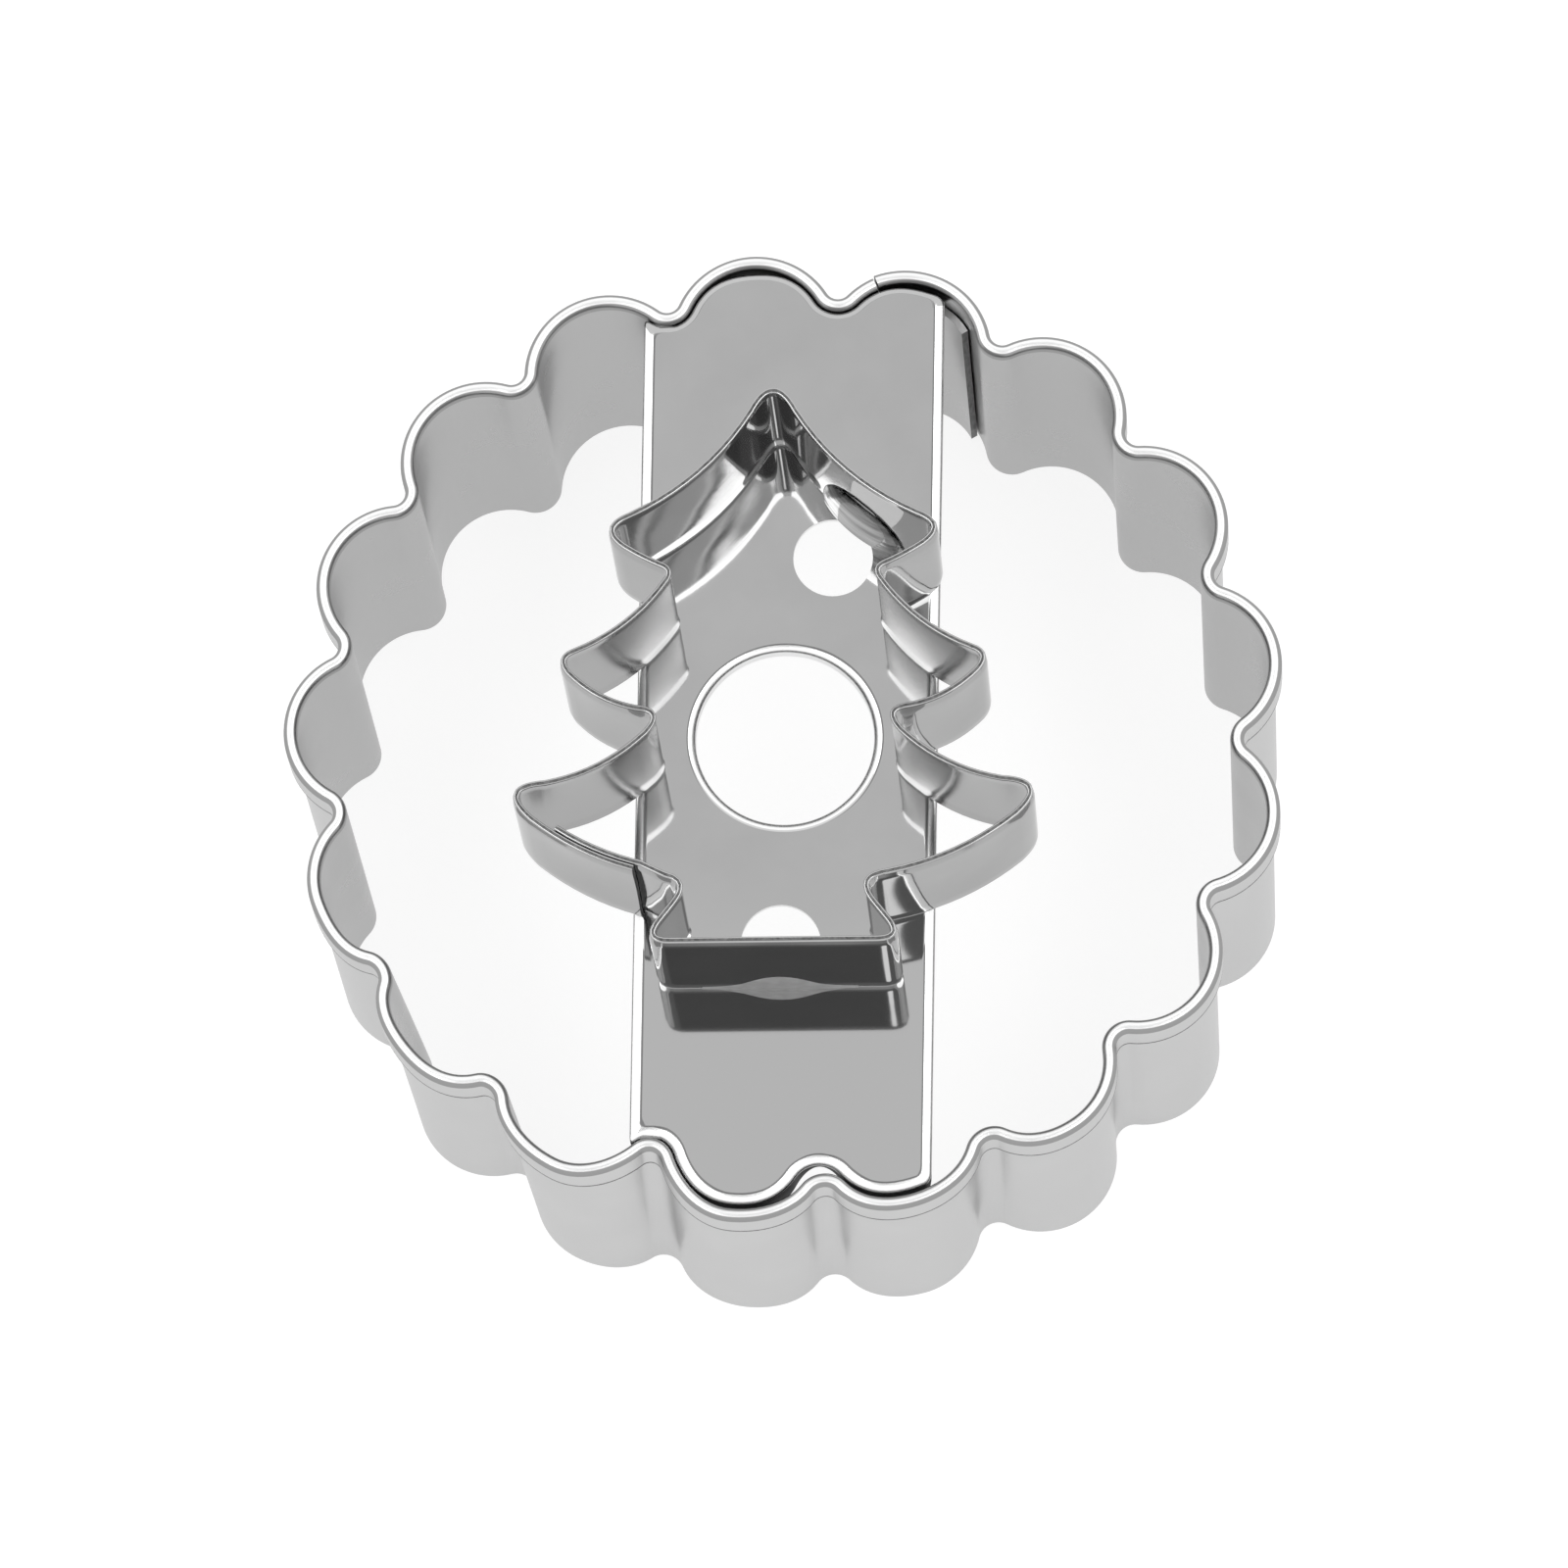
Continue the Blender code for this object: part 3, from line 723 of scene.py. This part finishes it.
def make_tree(materials):
    """The tree's strip on edge, its two ends lapped under the lower left branch."""
    loop = tree_loop()
    lengths = loop_lengths(loop)
    neck = Vector((-TREE_CORNERS[-2][0], TREE_CORNERS[-2][1]))
    nearest = min(range(len(loop)), key=lambda index: (loop[index][0] - neck).length)
    start = sum(lengths[:nearest]) + TREE_SEAM_FROM_NECK
    stations = strip_along(loop, start, start + sum(lengths) + TREE_SEAM_OVERLAP)
    section = strip_section()
    finishes = [finish for _, _, finish in section]
    mesh_data = bmesh.new()
    row = add_row(mesh_data, strip_row(stations, 0, section))
    cap(mesh_data, row, CUT_EDGE)
    for index in range(1, len(stations)):
        next_row = add_row(mesh_data, strip_row(stations, index, section))
        skin(mesh_data, row, next_row, finishes=finishes)
        row = next_row
    cap(mesh_data, row, CUT_EDGE)
    mesh_data.transform(tree_placement())
    return add_piece("tree_strip", mesh_data, materials, "tree_cutter")


def solder_bead(name, stations, material, replaced):
    """Solder along a wall's foot: a closed skin over stations of place, way off the wall, depth, height."""
    mesh_data = bmesh.new()
    rows = []
    for place, away, depth, height in stations:
        foot = place - away * SOLDER_SINK
        points = [(foot.x, foot.y, 0.0)]
        for step in range(BEAD_FACETS + 1):
            turn = math.pi / 2 * step / BEAD_FACETS
            front = place + away * (depth * math.cos(turn) - SOLDER_SINK * math.sin(turn))
            points.append((front.x, front.y, height * math.sin(turn)))
        rows.append(add_row(mesh_data, points))
    for row, next_row in zip(rows, rows[1:]):
        skin(mesh_data, row, next_row)
    cap(mesh_data, rows[0])
    cap(mesh_data, rows[-1])
    mesh_data.transform(tree_placement())
    return add_piece(name, mesh_data, (material,), replaced)


def make_trunk_smear(material):
    """A lens-shaped smear of solder up the trunk's front, with a thin tail along its foot either way."""
    wall_face = TREE_CORNERS[-1][1] - TREE_SHEET / 2
    stations = []
    for step in range(1, BEAD_RINGS):
        along = -math.cos(math.pi * step / BEAD_RINGS)
        swell = (1 - along ** 2) ** SMEAR_POINTEDNESS
        place = Vector((along * SMEAR_LENGTH / 2, wall_face))
        depth = SMEAR_DEPTH * (SMEAR_TAIL_SHARE + (1 - SMEAR_TAIL_SHARE) * swell)
        height = SMEAR_TAIL + SMEAR_HEIGHT * swell
        stations.append((place, Vector((0.0, -1.0)), depth, height))
    return solder_bead("solder_bead", stations, material, "foot_solder_bead")


def make_slope_bead(material):
    """A thick bead of solder inside the foot of the top right slope, over the pierced hole's rim; its
    near-black streaks are painted shade and reflection of the shaded hole.
    """
    apex = Vector(TREE_CORNERS[0][:2])
    tip = Vector(TREE_CORNERS[1][:2])
    bow = TREE_CORNERS[0][3]
    first, last = SLOPE_BEAD_SPAN
    stations = []
    for step in range(1, BEAD_RINGS):
        along = -math.cos(math.pi * step / BEAD_RINGS)
        part = first + (last - first) * (along + 1) / 2
        place = bowed_side(apex, tip, bow, part)
        run = (bowed_side(apex, tip, bow, part + RUN_STEP) - place).normalized()
        away = Vector((run.y, -run.x))
        swell = (1 - along ** 2) ** 0.5
        place += away * (TREE_SHEET / 2 - EDGE_CURL_DEPTH)
        stations.append((place, away, SLOPE_BEAD_DEPTH * swell, SLOPE_BEAD_HEIGHT * swell))
    return solder_bead("slope_solder_bead", stations, material, None)


def new_material(name):
    material = bpy.data.materials.new(name)
    material.use_nodes = True
    return material, material.node_tree.nodes, material.node_tree.links


def new_metal(name):
    """A new material of bare metal, with its nodes, links and shader."""
    material, nodes, links = new_material(name)
    shader = nodes["Principled BSDF"]
    shader.inputs["Metallic"].default_value = 1.0
    return material, nodes, links, shader


def add_bump(nodes, links, pattern, depth, under=None):
    """The surface's direction with the pattern embossed so deep, over another one if it is given."""
    bump = nodes.new("ShaderNodeBump")
    bump.inputs["Distance"].default_value = depth
    links.new(pattern, bump.inputs["Height"])
    if under is not None:
        links.new(under, bump.inputs["Normal"])
    return bump.outputs["Normal"]


def noise(nodes, links, scale, stretch=(1.0, 1.0, 1.0), detail=3.0, turn=0.0):
    """A noise over the object's own coordinates, in features per metre, drawn out along some axes.

    The coordinates are first turned about Z, so many degrees, and then multiplied by the stretch.
    """
    coordinates = nodes.new("ShaderNodeTexCoord")
    turned = nodes.new("ShaderNodeMapping")
    turned.inputs["Rotation"].default_value = (0.0, 0.0, math.radians(turn))
    links.new(coordinates.outputs["Object"], turned.inputs["Vector"])
    mapping = nodes.new("ShaderNodeMapping")
    mapping.inputs["Scale"].default_value = stretch
    links.new(turned.outputs["Vector"], mapping.inputs["Vector"])
    texture = nodes.new("ShaderNodeTexNoise")
    texture.inputs["Scale"].default_value = scale
    texture.inputs["Detail"].default_value = detail
    links.new(mapping.outputs["Vector"], texture.inputs["Vector"])
    return texture.outputs["Fac"]


def spread(nodes, links, factor, low, high):
    """The noise's middle range stretched over two levels."""
    range_of = nodes.new("ShaderNodeMapRange")
    range_of.inputs["From Min"].default_value = NOISE_RANGE[0]
    range_of.inputs["From Max"].default_value = NOISE_RANGE[1]
    range_of.inputs["To Min"].default_value = low
    range_of.inputs["To Max"].default_value = high
    links.new(factor, range_of.inputs["Value"])
    return range_of.outputs["Result"]


def smooth_step(nodes, links, value, start, end):
    """0 before the start, 1 after the end and a soft change between; either may be the larger."""
    step = nodes.new("ShaderNodeMapRange")
    step.interpolation_type = "SMOOTHSTEP"
    step.inputs["From Min"].default_value = start
    step.inputs["From Max"].default_value = end
    links.new(value, step.inputs["Value"])
    return step.outputs["Result"]


def blend_levels(nodes, links, level, other, factor):
    """One level where the factor is 0 and the other where it is 1; each is a number or a socket."""
    mix = nodes.new("ShaderNodeMix")
    links.new(factor, mix.inputs[0])
    for socket, source in ((mix.inputs[2], level), (mix.inputs[3], other)):
        if isinstance(source, float):
            socket.default_value = source
        else:
            links.new(source, socket)
    return mix.outputs[0]


def between(nodes, links, value, first, last, softness):
    """1 between two limits and 0 outside them, with soft changes just inside them."""
    band = nodes.new("ShaderNodeMath")
    band.operation = "SUBTRACT"
    links.new(smooth_step(nodes, links, value, first, first + softness), band.inputs[0])
    links.new(smooth_step(nodes, links, value, last - softness, last), band.inputs[1])
    return band.outputs[0]


def steel(name, tone, roughness, grain, waves=None, painted_highlight=None, line=None, painted_tone_band=None):
    """Bright rolled steel: faint clouds in tone and roughness, a fine grain and, on bent sheet, waves.

    tone and roughness are each a low and a high level; grain and waves are each features per metre,
    their stretch and their height; painted_highlight is the height past which the tone is painted
    lighter as a highlight, the height where that is complete, and the highlight's tone and the roughness
    there; line is the two heights of a painted shade line along a fold, its softness and tone;
    painted_tone_band is the stretch of Y of a band of painted light and shade, how softly that starts
    and ends, and its tone and roughness there.
    """
    material, nodes, links, shader = new_metal(name)
    shader.inputs["Specular Tint"].default_value = GRAZING_TINT
    clouds = noise(nodes, links, CLOUD_SCALE, detail=4.0)
    level = spread(nodes, links, clouds, *tone)
    gloss = spread(nodes, links, clouds, *roughness)
    coordinates = nodes.new("ShaderNodeTexCoord")
    parts = nodes.new("ShaderNodeSeparateXYZ")
    links.new(coordinates.outputs["Object"], parts.inputs["Vector"])
    # A band across Y whose tone is painted light and shade, with its own roughness.
    if painted_tone_band:
        *stretch, tone_band_level, tone_band_roughness = painted_tone_band
        in_tone_band = between(nodes, links, parts.outputs["Y"], *stretch)
        level = blend_levels(nodes, links, level, tone_band_level, in_tone_band)
        gloss = blend_levels(nodes, links, gloss, tone_band_roughness, in_tone_band)
    # Painted highlight: a lighter tone past a given height.
    if painted_highlight:
        start, full, highlight_tone, highlight_roughness = painted_highlight
        highlighted = smooth_step(nodes, links, parts.outputs["Z"], start, full)
        level = blend_levels(nodes, links, level, highlight_tone, highlighted)
        gloss = blend_levels(nodes, links, gloss, highlight_roughness, highlighted)
    # Painted shade: a darker line between two heights.
    if line:
        *stretch, shade_line_tone = line
        in_shade_line = between(nodes, links, parts.outputs["Z"], *stretch)
        level = blend_levels(nodes, links, level, shade_line_tone, in_shade_line)
    links.new(level, shader.inputs["Base Color"])
    links.new(gloss, shader.inputs["Roughness"])

    swell = None
    if waves:
        swell = add_bump(nodes, links, noise(nodes, links, *waves[:2], detail=0.0), waves[2])
    relief = add_bump(nodes, links, noise(nodes, links, *grain[:2]), grain[2], swell)
    links.new(relief, shader.inputs["Normal"])
    return material


def cut_edge_shade_material():
    """The raw edge of sheared sheet: dull and scored across, in a near-black tone that is painted shade."""
    material, nodes, links, shader = new_metal("cut_edge_painted_shade")
    scoring = noise(nodes, links, *CUT_SCORING)
    links.new(spread(nodes, links, scoring, *CUT_EDGE_SHADE_TONE), shader.inputs["Base Color"])
    shader.inputs["Roughness"].default_value = CUT_ROUGHNESS
    links.new(add_bump(nodes, links, scoring, CUT_RELIEF), shader.inputs["Normal"])
    return material


def flange_shade_material():
    """Mottled near-black steel on the end flanges: painted shade in the gaps between them and the ring."""
    material, nodes, links, shader = new_metal("flange_painted_shade")
    mottle = noise(nodes, links, FLANGE_MOTTLE, detail=4.0)
    links.new(spread(nodes, links, mottle, *FLANGE_SHADE_TONE), shader.inputs["Base Color"])
    links.new(spread(nodes, links, mottle, *FLANGE_ROUGHNESS), shader.inputs["Roughness"])
    return material


def solder_material(name, tone, roughness, grain, relief):
    """Dull to bright tin solder, mottled and slightly lumpy; grain is its scale, stretch and turn. On the
    slope bead the mottle runs in streaks down to near black, which are painted shade and reflection.
    """
    material, nodes, links, shader = new_metal(name)
    mottle = noise(nodes, links, *grain[:2], detail=2.0, turn=grain[2])
    links.new(spread(nodes, links, mottle, *tone), shader.inputs["Base Color"])
    links.new(spread(nodes, links, mottle, *roughness), shader.inputs["Roughness"])
    links.new(add_bump(nodes, links, mottle, relief), shader.inputs["Normal"])
    return material


def shown_background(nodes, links):
    """A factor that is 1 for the rays that should see the plain white background."""
    path = nodes.new("ShaderNodeLightPath")
    camera_or_gloss = nodes.new("ShaderNodeMath")
    camera_or_gloss.operation = "MAXIMUM"
    links.new(path.outputs["Is Camera Ray"], camera_or_gloss.inputs[0])
    links.new(path.outputs["Is Glossy Ray"], camera_or_gloss.inputs[1])
    any_of_them = nodes.new("ShaderNodeMath")
    any_of_them.operation = "MAXIMUM"
    links.new(camera_or_gloss.outputs[0], any_of_them.inputs[0])
    links.new(path.outputs["Is Transmission Ray"], any_of_them.inputs[1])
    return any_of_them.outputs[0]


def make_floor():
    mesh_data = bmesh.new()
    bmesh.ops.create_grid(mesh_data, x_segments=1, y_segments=1, size=FLOOR_SIZE / 2)
    mesh = bpy.data.meshes.new("floor")
    mesh_data.to_mesh(mesh)
    mesh_data.free()
    floor = bpy.data.objects.new("floor", mesh)
    bpy.context.scene.collection.objects.link(floor)
    material, nodes, links = new_material("white_floor")
    nodes.remove(nodes["Principled BSDF"])
    matt = nodes.new("ShaderNodeBsdfDiffuse")
    matt.inputs["Color"].default_value = FLOOR_COLOUR
    glow = nodes.new("ShaderNodeEmission")
    strength = nodes.new("ShaderNodeMath")
    strength.operation = "MULTIPLY"
    strength.inputs[1].default_value = FLOOR_GLOW
    links.new(shown_background(nodes, links), strength.inputs[0])
    links.new(strength.outputs[0], glow.inputs["Strength"])
    both = nodes.new("ShaderNodeAddShader")
    links.new(matt.outputs[0], both.inputs[0])
    links.new(glow.outputs[0], both.inputs[1])
    links.new(both.outputs[0], nodes["Material Output"].inputs["Surface"])
    mesh.materials.append(material)


def disc_factor(nodes, links, way, toward, cosines):
    """1 within a disc of the sky and 0 outside it, the two cosines its outer and inner edge."""
    aligned = nodes.new("ShaderNodeVectorMath")
    aligned.operation = "DOT_PRODUCT"
    aligned.inputs[1].default_value = Vector(toward).normalized()
    links.new(way, aligned.inputs[0])
    return smooth_step(nodes, links, aligned.outputs["Value"], *cosines)


def make_world():
    """A pale studio: a plain ceiling, banded in front, brighter sides and the camera's dark place."""
    world = bpy.data.worlds.new("studio")
    world.use_nodes = True
    nodes = world.node_tree.nodes
    links = world.node_tree.links
    way = nodes.new("ShaderNodeTexCoord").outputs["Generated"]
    parts = nodes.new("ShaderNodeSeparateXYZ")
    links.new(way, parts.inputs["Vector"])

    sideways = nodes.new("ShaderNodeMath")
    sideways.operation = "ABSOLUTE"
    links.new(parts.outputs["X"], sideways.inputs[0])
    front = FRONT_CEILING_STRENGTH
    for edge, strength in CEILING_BANDS:
        beyond = smooth_step(nodes, links, sideways.outputs[0], edge - BAND_SOFTNESS, edge + BAND_SOFTNESS)
        front = blend_levels(nodes, links, front, strength, beyond)
    for toward, cosines, strength in (CAMERA_DISC, WINDOW_DISC):
        within = disc_factor(nodes, links, way, toward, cosines)
        front = blend_levels(nodes, links, front, strength, within)
    *stretch, strength = BACK_BAND
    in_band = between(nodes, links, sideways.outputs[0], *stretch)
    back = blend_levels(nodes, links, BACK_CEILING_STRENGTH, strength, in_band)
    toward_back = smooth_step(nodes, links, parts.outputs["Y"], *CEILING_FRONT_TO_BACK)
    ceiling = blend_levels(nodes, links, front, back, toward_back)
    overhead = smooth_step(nodes, links, parts.outputs["Z"], *CEILING_COSINES)
    level = blend_levels(nodes, links, ROOM_STRENGTH, ceiling, overhead)
    nodes["Background"].inputs["Color"].default_value = WHITE
    links.new(level, nodes["Background"].inputs["Strength"])
    bpy.context.scene.world = world


def add_lamp(name, place):
    """A softbox turned toward the ring's rim."""
    data = bpy.data.lights.new(name, "AREA")
    data.shape = "RECTANGLE"
    data.size, data.size_y = LAMP_SIZE
    data.energy = LAMP_POWER
    lamp = bpy.data.objects.new(name, data)
    lamp.location = place
    toward_ring = Vector((0.0, 0.0, RING_HEIGHT)) - Vector(place)
    lamp.rotation_euler = toward_ring.to_track_quat("-Z", "Y").to_euler()
    bpy.context.scene.collection.objects.link(lamp)


def make_camera():
    azimuth = math.radians(CAMERA_AZIMUTH)
    elevation = math.radians(CAMERA_ELEVATION)
    toward_camera = Vector(
        (
            math.sin(azimuth) * math.cos(elevation),
            -math.cos(azimuth) * math.cos(elevation),
            math.sin(elevation),
        )
    )
    data = bpy.data.cameras.new("camera")
    data.lens = CAMERA_LENS
    data.sensor_width = CAMERA_SENSOR
    data.clip_start, data.clip_end = CAMERA_CLIP
    camera = bpy.data.objects.new("camera", data)
    facing = (-toward_camera).to_track_quat("-Z", "Y").to_matrix().to_4x4()
    place = Matrix.Translation(Vector(CAMERA_AIM) + toward_camera * CAMERA_DISTANCE)
    camera.matrix_world = place @ facing @ Matrix.Rotation(math.radians(CAMERA_ROLL), 4, "Z")
    bpy.context.scene.collection.objects.link(camera)
    bpy.context.scene.camera = camera


# The ring's outer faces: a painted highlight on the rim's top and a painted shade line at its shoulder.
ring_outer_steel = steel(
    "ring_outer_steel",
    tone=(0.58, 0.62),
    roughness=(0.28, 0.36),
    grain=RING_GRAIN,
    painted_highlight=HEM_PAINTED_HIGHLIGHT,
    line=SHOULDER_SHADE_LINE,
)
# The ring's inner faces: the same steel in a darker tone as painted shade, with the rim's painted highlight
# and a painted shade line under it.
ring_inner_shaded_steel = steel(
    "ring_inner_shaded_steel",
    tone=(0.49, 0.52),
    roughness=(0.26, 0.34),
    grain=RING_GRAIN,
    painted_highlight=HEM_PAINTED_HIGHLIGHT,
    line=FOLD_SHADE_LINE,
)
# The bridge: a painted highlight on its folds and a painted lighter reflection over its near part.
bridge_steel = steel(
    "bridge_steel",
    tone=(0.555, 0.595),
    roughness=(0.03, 0.06),
    grain=BRIDGE_GRAIN,
    painted_highlight=FOLD_PAINTED_HIGHLIGHT,
    painted_tone_band=BRIDGE_PAINTED_REFLECTION,
)
# The tree's outer faces: the same steel as its inner faces in a darker tone, as painted shade.
tree_outer_shaded_steel = steel(
    "tree_outer_shaded_steel",
    tone=(0.42, 0.45),
    roughness=(0.03, 0.08),
    grain=TREE_GRAIN,
    waves=TREE_WAVES,
)
# The tree's inner faces, with a band of painted shade across their middle.
tree_inner_steel = steel(
    "tree_inner_steel",
    tone=(0.50, 0.54),
    roughness=(0.03, 0.06),
    grain=TREE_GRAIN,
    waves=TREE_WAVES,
    painted_tone_band=TREE_PAINTED_SHADE,
)
# The bridge's far folds: its steel in a darker tone as painted shade, and rougher.
far_fold_shaded_steel = steel("far_fold_shaded_steel", tone=(0.46, 0.50), roughness=(0.10, 0.16), grain=BRIDGE_GRAIN)
dull_solder = solder_material(
    "dull_solder", tone=(0.40, 0.48), roughness=(0.42, 0.52), grain=SMEAR_GRAIN, relief=SMEAR_RELIEF
)
# The slope bead: streaks down to near black, painted as the shaded hole's reflection.
slope_bead_painted_shade = solder_material(
    "slope_bead_painted_shade", tone=(0.03, 0.34), roughness=(0.08, 0.16), grain=BEAD_PAINTED_STREAKS, relief=BEAD_RELIEF
)
# Cut edges whose near-black tone is painted shade.
cut_edge_painted_shade = cut_edge_shade_material()

make_ring((ring_outer_steel, ring_inner_shaded_steel, cut_edge_painted_shade))
make_bridge((bridge_steel, far_fold_shaded_steel, flange_shade_material()))
make_tree((tree_outer_shaded_steel, tree_inner_steel, cut_edge_painted_shade))
make_trunk_smear(dull_solder)
make_slope_bead(slope_bead_painted_shade)
make_floor()
make_world()
for lamp_name, lamp_side in LAMP_SIDES.items():
    add_lamp(lamp_name, (lamp_side * LAMP_DISTANCE, 0.0, LAMP_HEIGHT))
make_camera()
bpy.context.scene.view_settings.view_transform = "Standard"
